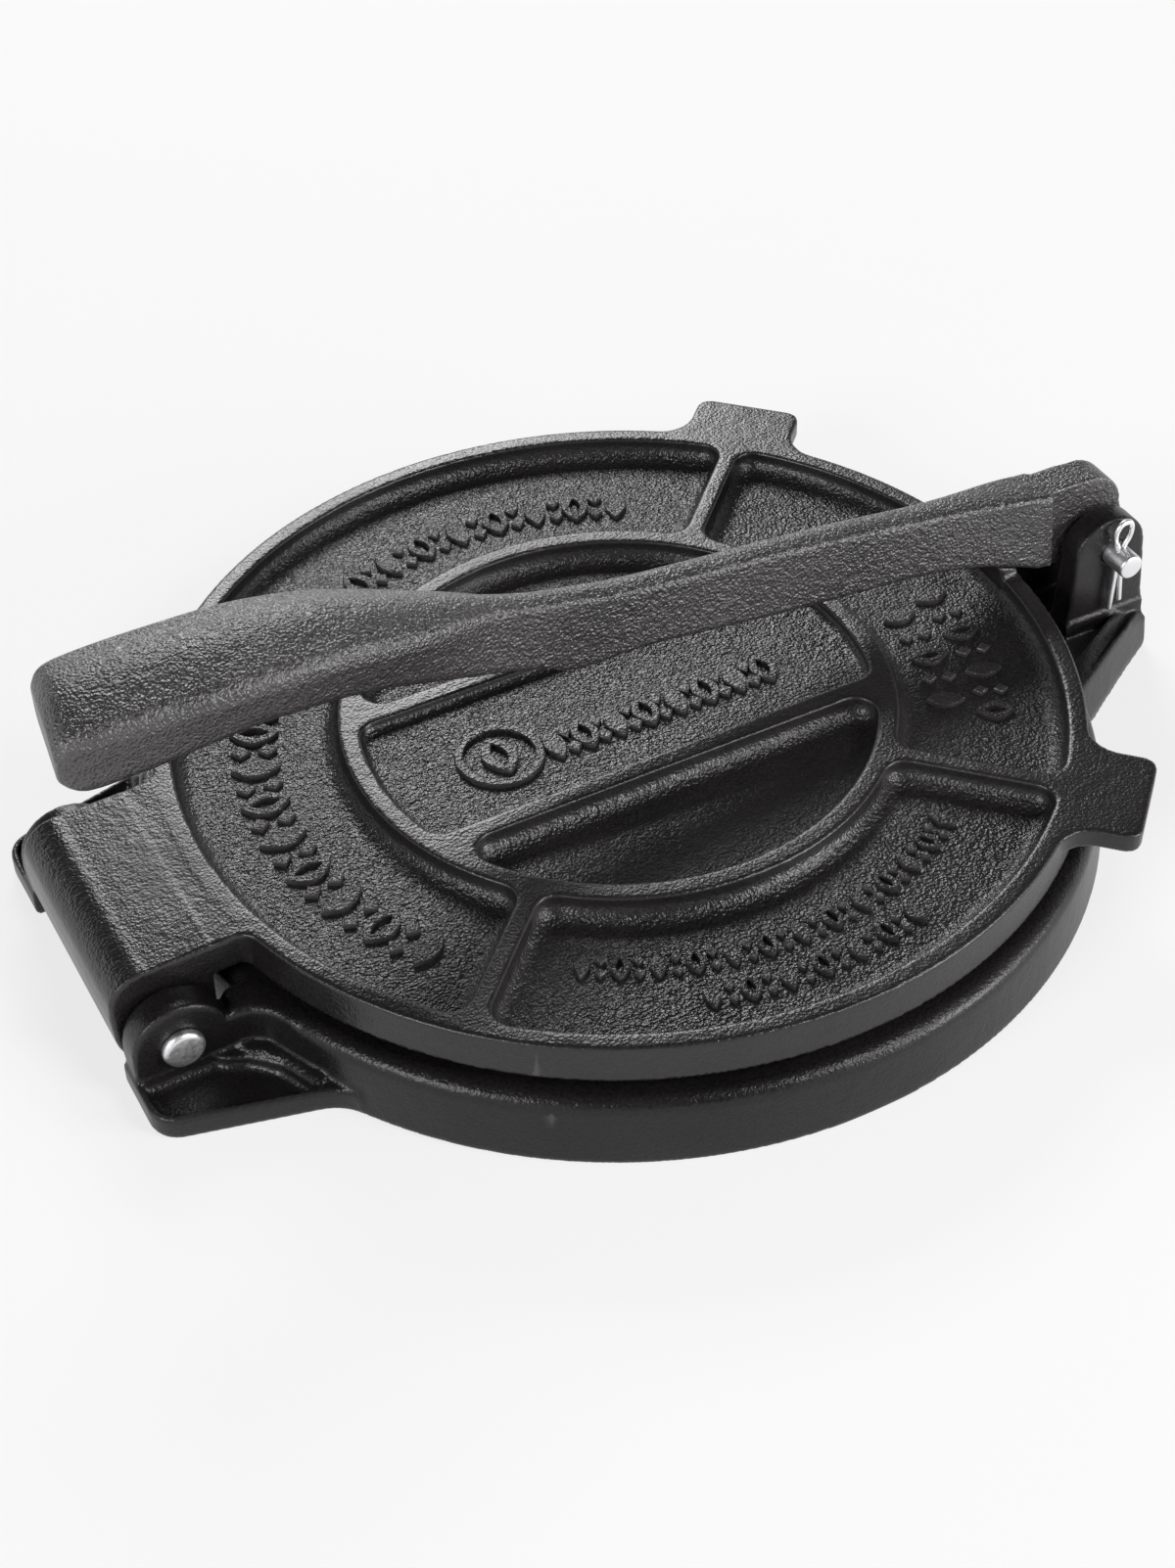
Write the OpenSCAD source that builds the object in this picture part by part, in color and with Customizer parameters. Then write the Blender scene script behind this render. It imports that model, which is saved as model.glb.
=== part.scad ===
// Cast-iron tortilla press, closed. Origin: middle of the base plate on the table. +X runs from the
// hinge to the lever's pivot, +Z is up. All sizes are in millimetres.

/* [Base plate] */
// Radius of the base plate where it stands on the table
base_r = 113.5; // [112:0.5:118]
// How much narrower the side wall is at its top than at the table
base_draft = 1.5; // [0.5:0.5:3]
// Height of the plate's side wall up to the shoulder
base_wall_h = 14; // [12:0.5:15]
// Height of the flat pressing face
base_h = 17; // [16:0.5:19]
// Thickness of the pressing plate
base_plate_t = 4.5; // [4:0.5:8]
// Thickness of the skirt round the hollow underside
skirt_t = 5; // [4:0.5:8]
// Width of the stiffening webs under the plate
web_w = 5; // [4:0.5:12]

/* [Hinge end of the base] */
// Distance from the plate's edge out to the hinge pin
hinge_out = 10.7; // [10:0.1:14]
// Height of the hinge pin above the table
hinge_h = 12.6; // [12.4:0.1:14]
// Radius of the rounded hinge ears
hinge_ear_r = 10.2; // [8:0.2:11]
// Thickness of one hinge ear
hinge_ear_t = 7.2; // [5:0.2:9]
// Distance from the hinge pin to the end of the hinge foot
hinge_foot_out = 11.6; // [10.6:0.2:14]
// Half width of the hinge foot at its end
hinge_foot_end = 50; // [46:0.2:54]
// Half width of the hinge foot where it leaves the plate
hinge_foot_root = 59.5; // [54:0.5:62]
// Thickness of the hinge foot
hinge_foot_t = 6.5; // [5:0.5:8]
// Radius of the foot's outer corners
foot_corner_r = 7; // [3:0.5:9]
// Radius of the hollow corner between a foot and the plate
foot_fillet_r = 12; // [4:1:16]
// Width of the rim left round the dished top of the hinge foot
dish_rim = 3.5; // [2.5:0.5:5]
// Width of the flat ledge left beside a hinge ear
ledge_w = 2; // [1:0.5:4]
// Depth of the dished top of the hinge foot
dish_depth = 3; // [1:0.5:4]

/* [Lever end of the base] */
// Distance from the plate's edge out to the lever pin
lever_out = 17.5; // [16.5:0.5:21]
// Height of the lever pin above the table
lever_h = 31; // [30:0.5:33]
// Radius of the rounded lever ears
lever_ear_r = 11.8; // [10:0.2:12]
// Thickness of one lever ear
lever_ear_t = 6.7; // [5:0.1:8]
// Distance from the lever pin to the end of the lever foot
lever_foot_out = 11; // [9:0.5:12]
// Half width of the lever foot at its end
lever_foot_end = 15.5; // [14.5:0.5:18]
// Half width of the lever foot where it leaves the plate
lever_foot_root = 38.5; // [30:0.5:44]
// Height of the lever foot
lever_foot_h = 13.5; // [12:0.5:14]
// Height of the valley between the lever ears
valley_h = 10.8; // [8:0.2:11]

/* [Lid] */
// How far the lid's top edge is set in from the base plate's edge
lid_in = 6; // [4:0.5:10]
// How much wider the lid is at its lower edge than at its top
lid_draft = 0.7; // [0:0.1:1.5]
// Gap between the two pressing faces when the press is closed
press_gap = 3; // [1:0.1:4]
// Height of the lid from its pressing face to its rim
lid_t = 9.4; // [8:0.2:10]
// Thickness of the lid under its pockets
lid_floor_t = 4; // [3:0.5:5]
// Width of the flat rim
rim_w = 4.5; // [3:0.5:7]
// Outer radius of the inner ring
ring_r = 64.8; // [50:0.2:75]
// Width of the inner ring
ring_w = 4.8; // [3:0.2:7]
// Width of a spoke
spoke_w = 4.4; // [3:0.2:8]
// Distance from the middle to the outer side of each straight rib
rib_y = 25.4; // [15:0.2:35]
// Width of a straight rib
rib_w = 4.8; // [3:0.2:7]
// Depth of the shallow middle field
field_depth = 2.6; // [0.5:0.2:4]
// Radius of the corners of the pockets
pocket_corner_r = 5; // [2:0.5:7]

/* [Lid tabs and lug] */
// Distance that a tab stands out from the lid's edge
tab_out = 15.1; // [10:0.1:18]
// Width of a finger tab
tab_w = 27; // [18:0.5:34]
// Thickness of a finger tab
tab_t = 4.8; // [3:0.2:7]
// Radius of a tab's corners
tab_corner_r = 3.5; // [1:0.5:6]
// Radius of the hollow corner between a tab and the rim
tab_fillet_r = 8; // [2:1:12]
// Distance from the lid's edge in to the middle of the pressure lug
lug_in = 3.3; // [3:0.1:4]
// Length of the pressure lug along the lever
lug_l = 5.4; // [4:0.2:6]
// Width of the pressure lug across the lever
lug_w = 12.4; // [8:0.2:16]

/* [Lid hinge tongue] */
// Width of the tongue between the hinge ears
tongue_w = 54; // [40:0.5:58]
// Thickness of the tongue's flat top
tongue_t = 8.4; // [6:0.2:9]
// Radius of the knuckle round the hinge pin
knuckle_r = 11.8; // [10:0.1:12]
// Length of the rounded step where the tongue's top turns down
tongue_turn = 9; // [6:0.5:10]
// Radius of the hollow corner between the tongue and the rim
tongue_fillet_r = 5; // [2:0.5:9]

/* [Lever] */
// Width of the lever's bar
bar_w = 11.8; // [11:0.2:13]
// Width of the lever's hub
hub_w = 9; // [8:0.2:10]
// Radius of the hub round the lever pin
hub_r = 8.6; // [7.5:0.1:9]
// Radius of the hub's high shoulder
nose_r = 14.6; // [12:0.2:14.8]
// Height of the bar at its middle
bar_depth = 16; // [13:0.5:18]
// Half width of the grip
grip_half_w = 15; // [10:0.5:17]
// Height of the grip's crown above its flat shoulders
grip_crown = 2; // [1:0.2:5]
// Distance from the lever pin to the far end of the grip
grip_reach = 265; // [250:1:275]

/* [Pins] */
// Diameter of both pins
pin_d = 6.4; // [5:0.1:7]
// Diameter of a pin's head
head_d = 10; // [8.5:0.5:12]
// Height of a pin's head
head_t = 2.6; // [1.5:0.1:4]
// Diameter of the split pins' shanks
cotter_d = 2.2; // [1.4:0.1:2.6]
// Length of a split pin below its pin
cotter_leg = 11; // [6:0.5:12]
// Length of pin beyond the split pin
pin_tail = 3; // [2:0.5:5]

/* [Fits] */
// Radial clearance of a pin in the ears
ear_fit = 0.05; // [0.02:0.01:0.08]
// Radial clearance of a pin in the piece that turns on it
turn_fit = 0.1; // [0.05:0.01:0.1]
// Radial clearance of a split pin in its hole
cotter_fit = 0.1; // [0.05:0.01:0.2]
// Gap between the lid's tongue and each hinge ear
tongue_gap = 1.6; // [0.5:0.1:2]
// Gap between the lever's hub and each lever ear
hub_gap = 1.3; // [0.4:0.1:1.8]
// Gap between the lever and the pressure lug
lug_gap = 0.4; // [0.3:0.05:0.6]
// Gap round the knuckle to the base
knuckle_gap = 1.2; // [0.6:0.1:2]

/* [Hidden] */
$fn = 96;
round_fn = 32;
over = 1;

iron = "#3b393a";
steel = "#c9ccd0";

base_shoulder_r = base_r - base_draft;
hinge_x = -(base_r + hinge_out);
hinge_foot_x = hinge_x - hinge_foot_out;
lever_x = base_r + lever_out;
lever_foot_x = lever_x + lever_foot_out;
lid_r = base_r - lid_in;
tab_dist = lid_r + tab_out;
lug_dist = lid_r - lug_in;
lid_z = base_h + press_gap;
lid_top = lid_z + lid_t;
pocket_z = lid_z + lid_floor_t;
hinge_ear_y = tongue_w / 2 + tongue_gap;
hinge_face_y = hinge_ear_y + hinge_ear_t;
lever_ear_y = hub_w / 2 + hub_gap;
lever_face_y = lever_ear_y + lever_ear_t;
cutout_x = hinge_x + knuckle_r + knuckle_gap;
arm_in = 0.9 * lid_r;
cotter_y = cotter_d / 2 + 1;
hinge_turn = -90;
spoke_angles = [45, 135, 225, 315];
tab_angles = [45, -45];

// The lever's side view, from points on its top and bottom edges measured from its pin, in
// hundredths of the lever's reach
part = grip_reach / 100;
bar_top = [
    [-6.04, 7], [-11.32, 7.72], [-22.64, 9.25], [-35.85, 10.57], [-49.43, 12.08], [-55.09, 13.28],
    [-58.87, 14.53], [-60.38, 15.09]];
bar_low = [
    [-60.38, 9.06], [-57.36, 8.08], [-55.28, 6.64], [-52.83, 6.11], [-49.43, 6.11], [-38.11, 4.87],
    [-28.3, 3.74], [-20, 2.94], [-13.58, 1.66], [-11.32, 1], [-5.28, -1.17]];
bar_trim = bar_depth - 6.04 * part;
low_from = bar_low[10] * part;
low_dir = (bar_low[9] - bar_low[10]) * part;
nose_at = [-3.4, 1.9] * part;
hub_back = [[-6.8, 7], [-6.8, -0.57], [-4.53, -1.51]] * part;

// The grip's cross-sections: distance from the pin, height of the flat underside and height of the
// shoulders in hundredths of the reach, then shares of the crown's height and of the half width. The
// lower edges are cut back by grip_round, the upper ones by a share of the half width
grip_round = 1.5;
grip_edge = 0.3;
grips = [
    [57.2, 7.77, 13.81, 0.1, 0.44],
    [63.4, 10, 16.04, 0.4, 0.47],
    [69.8, 11.85, 17.74, 0.7, 0.69],
    [76.2, 14.07, 19.5, 1, 0.88],
    [80, 14.64, 19.9, 1, 0.967],
    [83.4, 14.98, 20.19, 1, 1],
    [87, 14.75, 20.3, 1, 1],
    [90.6, 14.38, 20.34, 1, 0.987],
    [95.1, 14.1, 20.3, 0.9, 0.953],
    [98.5, 13.96, 19.6, 0.8, 0.867],
    [100, 14.7, 18.7, 0.7, 0.73]
];

module across(y0, y1) {
    translate([0, y1, 0]) rotate([90, 0, 0]) linear_extrude(y1 - y0) children();
}

module rod(x, z, d, y0, y1) {
    translate([x, y0, z]) rotate([-90, 0, 0]) cylinder(d = d, h = y1 - y0);
}

module round_out(r) {
    offset(r = r, $fn = round_fn) offset(delta = -r) children();
}

module round_in(r) {
    offset(r = -r, $fn = round_fn) offset(delta = r) children();
}

module both_sides() {
    children();
    mirror([0, 1, 0]) children();
}

// Base plate with its rounded shoulder
module plate_body() {
    turn = base_h - base_wall_h;
    rotate_extrude() {
        polygon([[0, 0], [base_r, 0], [base_shoulder_r, base_wall_h], [0, base_wall_h]]);
        square([base_shoulder_r - turn, base_h]);
        translate([base_shoulder_r - turn, base_wall_h]) intersection() {
            circle(turn);
            square(turn);
        }
    }
}

// Where a foot of a given half width leaves the round plate
function root_x(half) = sqrt(base_shoulder_r * base_shoulder_r - half * half);

module hinge_foot_outline() {
    round_in(foot_fillet_r) {
        round_out(foot_corner_r) polygon([
            [0, hinge_foot_root], [-root_x(hinge_foot_root), hinge_foot_root],
            [hinge_foot_x, hinge_foot_end], [hinge_foot_x, -hinge_foot_end],
            [-root_x(hinge_foot_root), -hinge_foot_root], [0, -hinge_foot_root]]);
        circle(base_shoulder_r);
    }
}

module lever_foot_outline() {
    round_out(foot_corner_r / 2) polygon([
        [0, lever_foot_root], [root_x(lever_foot_root), lever_foot_root],
        [lever_foot_x, lever_foot_end], [lever_foot_x, -lever_foot_end],
        [root_x(lever_foot_root), -lever_foot_root], [0, -lever_foot_root]]);
}

// One hinge ear: a rounded boss round the pin and the arm that ties it to the plate
module hinge_ear() {
    across(hinge_ear_y, hinge_face_y) {
        translate([hinge_x, hinge_h]) circle(hinge_ear_r);
        translate([hinge_x - hinge_ear_r, 0]) square([2 * hinge_ear_r, hinge_h]);
        translate([hinge_x, 0]) square([-hinge_x - arm_in, base_h]);
    }
    across(hinge_ear_y, hinge_face_y + ledge_w) translate([hinge_x - hinge_ear_r, 0])
        square([2 * hinge_ear_r + 2 * ledge_w, hinge_foot_t]);
}

// Dished hollow in the top of the hinge foot, between an ear and the foot's rim
module foot_dish() {
    translate([0, 0, hinge_foot_t - dish_depth]) linear_extrude(dish_depth + over) round_out(3)
        difference() {
            offset(delta = -dish_rim) hinge_foot_outline();
            circle(base_r + base_draft / 2);
            translate([-2 * base_r, -hinge_face_y - ledge_w])
                square([2 * base_r, 2 * (hinge_face_y + ledge_w)]);
        }
}

module lever_ear() {
    across(lever_ear_y, lever_face_y) {
        translate([lever_x, lever_h]) circle(lever_ear_r);
        polygon([[lever_x - lever_ear_r, lever_h], [lever_x - lever_ear_r, 0],
            [lever_foot_x, 0], [lever_foot_x, lever_foot_h], [lever_x + lever_ear_r, lever_h]]);
    }
}

// Spokes that stiffen the plate from below
module web_outline() {
    for (a = spoke_angles) rotate(a) translate([0, -web_w / 2]) square([base_r, web_w]);
}

module underside() {
    hollow_h = base_h - base_plate_t;
    difference() {
        translate([0, 0, -over]) cylinder(r = base_shoulder_r - skirt_t, h = hollow_h + over);
        translate([0, 0, -2 * over]) linear_extrude(base_h) web_outline();
        translate([-base_r, -base_r, -2 * over])
            cube([base_r + cutout_x + skirt_t, 2 * base_r, base_h + over]);
    }
}

module base() {
    color(iron) difference() {
        union() {
            plate_body();
            linear_extrude(hinge_foot_t) hinge_foot_outline();
            linear_extrude(lever_foot_h) lever_foot_outline();
            both_sides() hinge_ear();
            both_sides() lever_ear();
        }
        underside();
        foot_dish();
        translate([-2 * base_r, -hinge_ear_y, -over])
            cube([2 * base_r + cutout_x, 2 * hinge_ear_y, 2 * lever_h]);
        translate([lever_x - lever_ear_r, -lever_ear_y, valley_h])
            cube([4 * lever_ear_r, 2 * lever_ear_y, 2 * lever_h]);
        rod(hinge_x, hinge_h, pin_d + 2 * ear_fit, -hinge_face_y - pin_d, hinge_face_y + pin_d);
        rod(lever_x, lever_h, pin_d + 2 * ear_fit, -lever_face_y - pin_d, lever_face_y + pin_d);
    }
}

module lid_outline() {
    round_in(tab_fillet_r) {
        circle(lid_r);
        for (a = tab_angles) rotate(a) round_out(tab_corner_r)
            translate([lid_r - tab_w, -tab_w / 2]) square([tab_out + tab_w, tab_w]);
    }
}

// The pockets between the rim, the inner ring and the spokes
module outer_pockets() {
    round_out(pocket_corner_r) difference() {
        circle(lid_r - rim_w);
        circle(ring_r);
        for (a = spoke_angles) rotate(a) translate([0, -spoke_w / 2]) square([lid_r, spoke_w]);
    }
}

// The two half-moon pockets inside the ring
module inner_pockets() {
    round_out(pocket_corner_r) difference() {
        circle(ring_r - ring_w);
        translate([-ring_r, -rib_y]) square([2 * ring_r, 2 * rib_y]);
    }
}

// The shallow field between the two straight ribs
module middle_field() {
    round_out(pocket_corner_r) intersection() {
        circle(ring_r - ring_w);
        translate([-ring_r, rib_w - rib_y]) square([2 * ring_r, 2 * (rib_y - rib_w)]);
    }
}

// The tongue's side view: flat on top, rounded over at its end and round the pin below
module tongue_side() {
    translate([hinge_x, hinge_h]) circle(knuckle_r);
    end_x = hinge_x - knuckle_r;
    translate([end_x + tongue_turn, lid_top - tongue_turn]) intersection() {
        circle(tongue_turn);
        translate([-tongue_turn, 0]) square(tongue_turn);
    }
    translate([end_x + tongue_turn, lid_top - tongue_t])
        square([-arm_in - end_x - tongue_turn, tongue_t]);
    translate([end_x, hinge_h]) square([1.95 * knuckle_r, lid_top - tongue_turn - hinge_h]);
}

// Fillets in plan between the tongue and the rim
module tongue_plan() {
    round_in(tongue_fillet_r) {
        circle(lid_r);
        translate([-2 * base_r, -tongue_w / 2]) square([base_r, tongue_w]);
    }
}

// A point on the lever's lower edge above the lug, and the lug's top just under it
function low_edge(x) = lever_h + low_from.y - bar_trim
    + (x - lever_x - low_from.x) * low_dir.y / low_dir.x;

module pressure_lug() {
    x0 = lug_dist - lug_l / 2;
    x1 = lug_dist + lug_l / 2;
    across(-lug_w / 2, lug_w / 2) polygon([[x0, lid_top - 1], [x1, lid_top - 1],
        [x1, low_edge(x1) - lug_gap], [x0, low_edge(x0) - lug_gap]]);
}

module lid() {
    color(iron) difference() {
        union() {
            difference() {
                union() {
                    translate([0, 0, lid_z]) cylinder(r1 = lid_r + lid_draft, r2 = lid_r, h = lid_t);
                    translate([0, 0, lid_top - tab_t]) linear_extrude(tab_t) lid_outline();
                    intersection() {
                        across(-tongue_w, tongue_w) tongue_side();
                        linear_extrude(lid_top) tongue_plan();
                    }
                }
                translate([0, 0, pocket_z]) linear_extrude(lid_t) outer_pockets();
                translate([0, 0, pocket_z]) linear_extrude(lid_t) inner_pockets();
                translate([0, 0, lid_top - field_depth]) linear_extrude(lid_t) middle_field();
            }
            pressure_lug();
        }
        rod(hinge_x, hinge_h, pin_d + 2 * turn_fit, -tongue_w, tongue_w);
    }
}

module hub() {
    across(-hub_w / 2, hub_w / 2) hull() {
        circle(hub_r);
        translate(nose_at) circle(nose_r);
        polygon(hub_back);
    }
}

module bar() {
    across(-bar_w / 2, bar_w / 2)
        polygon(concat([for (p = bar_top) p * part], [for (p = bar_low) p * part - [0, bar_trim]]));
}

// One side of a cross-section, from the underside up to the crown
function grip_side(g) = let (w = g[4] * grip_half_w, low = g[1] * part, high = g[2] * part,
    top = g[3] * grip_crown, edge = grip_edge * w) [
    [w - grip_round, low], [w, low + grip_round], [w, high - edge], [w - 0.3 * edge, high - 0.3 * edge],
    [w - edge, high], [0.4 * w, high + 0.7 * top], [0.15 * w, high + top]];

function grip_ring(g) = let (side = grip_side(g), n = len(side)) concat(
    [for (p = side) [-g[0] * part, p.x, p.y]],
    [for (i = [n - 1 : -1 : 0]) [-g[0] * part, -side[i].x, side[i].y]]);

module grip() {
    rings = [for (g = grips) grip_ring(g)];
    m = len(rings[0]);
    last = (len(rings) - 1) * m;
    polyhedron(
        points = [for (r = rings) for (p = r) p],
        faces = concat(
            [[for (j = [m - 1 : -1 : 0]) j]],
            [for (i = [0 : len(rings) - 2]) for (j = [0 : m - 1])
                [i * m + j, (i + 1) * m + (j + 1) % m, (i + 1) * m + j]],
            [for (i = [0 : len(rings) - 2]) for (j = [0 : m - 1])
                [i * m + j, i * m + (j + 1) % m, (i + 1) * m + (j + 1) % m]],
            [[for (j = [0 : m - 1]) last + j]]));
}

module lever() {
    color(iron) translate([lever_x, 0, lever_h]) difference() {
        union() {
            hub();
            bar();
            grip();
        }
        rod(0, 0, pin_d + 2 * turn_fit, -bar_w, bar_w);
    }
}

// A pin along Y with its head outside one ear and its tail through the other. Its cross hole stands
// up, or lies along X where turn is 90.
module headed_pin(face_y, turn) {
    tail_y = face_y + 2 * cotter_y + pin_tail;
    difference() {
        union() {
            rod(0, 0, pin_d, -face_y, tail_y);
            translate([0, -face_y, 0]) rotate([90, 0, 0]) rotate_extrude() intersection() {
                dome_r = (head_d * head_d / 4 + head_t * head_t) / (2 * head_t);
                translate([0, head_t - dome_r]) circle(dome_r);
                square([head_d / 2, head_t]);
            }
        }
        translate([0, face_y + cotter_y, 0]) rotate([0, turn, 0]) translate([0, 0, -pin_d])
            cylinder(d = cotter_d + 2 * cotter_fit, h = 2 * pin_d);
    }
}

// A split pin in the pin's cross hole, with its eye on one side and two legs on the other
module cotter(face_y, turn) {
    eye_r = cotter_d * 0.85;
    wire = cotter_d / 2;
    translate([0, face_y + cotter_y, 0]) rotate([0, turn, 0]) {
        cylinder(d = cotter_d, h = pin_d / 2 + 1);
        translate([0, 0, -pin_d / 2 - 1]) cylinder(d = cotter_d, h = pin_d / 2 + 1);
        translate([0, 0, pin_d / 2 + 1 + eye_r]) rotate([90, 0, 0])
            rotate_extrude() translate([eye_r, 0]) circle(wire * 0.6, $fn = round_fn);
        for (s = [-1, 1]) translate([s * wire / 2, 0, -pin_d / 2 - 0.6]) rotate([0, 180 - s * 5, 0])
            cylinder(d = wire, h = cotter_leg);
    }
}

module hinge_pin() {
    color(steel) translate([hinge_x, 0, hinge_h]) headed_pin(hinge_face_y, hinge_turn);
}

module lever_pin() {
    color(steel) translate([lever_x, 0, lever_h]) mirror([0, 1, 0]) headed_pin(lever_face_y, 0);
}

module hinge_cotter() {
    color(steel) translate([hinge_x, 0, hinge_h]) cotter(hinge_face_y, hinge_turn);
}

module lever_cotter() {
    color(steel) translate([lever_x, 0, lever_h]) mirror([0, 1, 0]) cotter(lever_face_y, 0);
}

base();
lid();
lever();
hinge_pin();
lever_pin();
hinge_cotter();
lever_cotter();
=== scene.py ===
# %% [markdown]
# A cast-iron tortilla press, dressed for its picture. The engineering model is already packed, and it
# is loaded first as a fixed frame: every piece below is made in that same space, so nothing has to be
# fitted afterwards. The real thing is three sand castings, two steel pins and two split pins.

import math

import bpy
from mathutils import Matrix, Vector


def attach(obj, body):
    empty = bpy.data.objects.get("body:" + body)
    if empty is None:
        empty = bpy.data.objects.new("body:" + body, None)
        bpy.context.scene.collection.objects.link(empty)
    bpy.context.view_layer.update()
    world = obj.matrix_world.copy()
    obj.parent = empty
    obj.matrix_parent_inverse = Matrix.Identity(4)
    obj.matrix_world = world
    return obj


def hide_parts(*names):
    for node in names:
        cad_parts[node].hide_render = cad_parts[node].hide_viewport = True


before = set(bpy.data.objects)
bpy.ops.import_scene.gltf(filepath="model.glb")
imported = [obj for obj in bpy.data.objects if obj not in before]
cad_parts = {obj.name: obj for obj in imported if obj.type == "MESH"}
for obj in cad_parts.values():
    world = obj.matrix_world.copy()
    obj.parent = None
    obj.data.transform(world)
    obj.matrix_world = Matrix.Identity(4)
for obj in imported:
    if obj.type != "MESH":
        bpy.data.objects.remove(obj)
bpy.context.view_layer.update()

# %% [markdown]
# Iron castings have no sharp edges: the sand can't hold one. So each casting is made in two steps.
# First it is built from crisp blocks, discs and traced outlines. Then its mesh is rebuilt as an even
# skin of small squares and relaxed, which rounds every edge and every inside corner a little, as the
# foundry does. The helpers in this cell do what a hand would do in the viewport.

# %% Helpers that add and shape a primitive
MM = 0.001


def fresh_start():
    if bpy.context.mode != "OBJECT":
        bpy.ops.object.mode_set(mode="OBJECT")
    bpy.ops.object.select_all(action="DESELECT")


def take(obj):
    fresh_start()
    obj.select_set(True)
    bpy.context.view_layer.objects.active = obj
    return obj


def settled(name):
    """Names the primitive just added and moves its place and size into its mesh."""
    obj = bpy.context.active_object
    obj.name = name
    obj.data.name = name
    take(obj)
    bpy.ops.object.transform_apply(location=True, rotation=True, scale=True)
    return obj


def block(name, x, y, z, turn=0):
    """A box over three spans in millimetres, turned about the origin's upright axis."""
    fresh_start()
    mid = Vector([(s[0] + s[1]) / 2 * MM for s in (x, y, z)])
    size = [(s[1] - s[0]) * MM for s in (x, y, z)]
    mid.rotate(Matrix.Rotation(math.radians(turn), 3, "Z"))
    bpy.ops.mesh.primitive_cube_add(
        size=1, location=mid, scale=size, rotation=(0, 0, math.radians(turn)))
    return settled(name)


def disc(name, x, y, low, high, r_low, r_high, sides=192):
    fresh_start()
    bpy.ops.mesh.primitive_cone_add(
        vertices=sides, radius1=r_low * MM, radius2=r_high * MM, depth=(high - low) * MM,
        location=(x * MM, y * MM, (low + high) / 2 * MM))
    return settled(name)


def bar_across(name, x, z, r, y, sides=64):
    """A round bar along Y, such as a pin or the drill that makes its hole."""
    fresh_start()
    bpy.ops.mesh.primitive_cylinder_add(
        vertices=sides, radius=r * MM, depth=(y[1] - y[0]) * MM,
        location=(x * MM, (y[0] + y[1]) / 2 * MM, z * MM), rotation=(math.pi / 2, 0, 0))
    return settled(name)


def traced(name, outline, span, plane="XY"):
    """A slab traced round an outline: a filled circle whose points are moved, then pulled out."""
    fresh_start()
    bpy.ops.mesh.primitive_circle_add(vertices=len(outline), radius=1, fill_type="NGON")
    obj = settled(name)
    for v, (a, b) in zip(obj.data.vertices, outline):
        v.co = (a * MM, b * MM, span[0] * MM) if plane == "XY" else (a * MM, span[0] * MM, b * MM)
    pull = (span[1] - span[0]) * MM
    bpy.ops.object.mode_set(mode="EDIT")
    bpy.ops.mesh.select_all(action="SELECT")
    bpy.ops.mesh.extrude_region_move(
        TRANSFORM_OT_translate={"value": (0, 0, pull) if plane == "XY" else (0, pull, 0)})
    bpy.ops.mesh.select_all(action="SELECT")
    bpy.ops.mesh.normals_make_consistent(inside=False)
    bpy.ops.object.mode_set(mode="OBJECT")
    return obj


def pick(obj, kind, rule):
    """Selects by place, in millimetres, and leaves the mesh open in edit mode. A vertex is judged by
    its point, an edge or a face by the points of its ends or corners."""
    take(obj)
    bpy.ops.object.mode_set(mode="EDIT")
    bpy.ops.mesh.select_mode(type=kind)
    bpy.ops.mesh.select_all(action="DESELECT")
    bpy.ops.object.mode_set(mode="OBJECT")
    mesh = obj.data
    at = [v.co / MM for v in mesh.vertices]
    if kind == "VERT":
        for v in mesh.vertices:
            v.select = rule(at[v.index])
    else:
        for part in (mesh.edges if kind == "EDGE" else mesh.polygons):
            part.select = rule([at[i] for i in part.vertices])
    bpy.ops.object.mode_set(mode="EDIT")


def round_off(obj, width, rule, segments=5):
    pick(obj, "EDGE", rule)
    bpy.ops.mesh.bevel(offset=width * MM, segments=segments, affect="EDGES", clamp_overlap=True)
    bpy.ops.object.mode_set(mode="OBJECT")


def at_height(z, slack=0.05):
    return lambda ends: all(abs(p.z - z) < slack for p in ends)


def at_side(y, slack=0.05):
    return lambda ends: all(abs(p.y - y) < slack for p in ends)


def combine(body, tool, how):
    """Cuts the tool out of the body, or welds it on, and throws the tool away."""
    take(body)
    step = body.modifiers.new("combine", "BOOLEAN")
    step.operation = how
    step.solver = "EXACT"
    step.object = tool
    bpy.ops.object.modifier_apply(modifier=step.name)
    bpy.data.objects.remove(tool)
    return body


def gathered(name, pieces):
    """Joins pieces into one object. They still overlap: the recast below melts them together."""
    fresh_start()
    for piece in pieces:
        assert len(piece.data.polygons) > 4, piece.name + " was cut away"
        piece.select_set(True)
    bpy.context.view_layer.objects.active = pieces[0]
    bpy.ops.object.join()
    obj = bpy.context.active_object
    obj.name = name
    obj.data.name = name
    return obj


def arc(x, y, r, start, end, steps):
    turns = [math.radians(start + (end - start) * i / steps) for i in range(steps + 1)]
    return [(x + r * math.cos(t), y + r * math.sin(t)) for t in turns]


def turned(points, angle):
    c, s = math.cos(math.radians(angle)), math.sin(math.radians(angle))
    return [(x * c - y * s, x * s + y * c) for x, y in points]


# %% [markdown]
# The recast is what turns machined-looking blocks into a casting. A Remesh modifier lays even squares
# over everything, a Smooth modifier relaxes them, and Decimate then keeps small faces only where the
# surface bends, so flat fields cost little. A finer skin keeps more of the edges' crispness.

# %% Recast a gathered body
MOST_TRIANGLES = 180000


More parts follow.
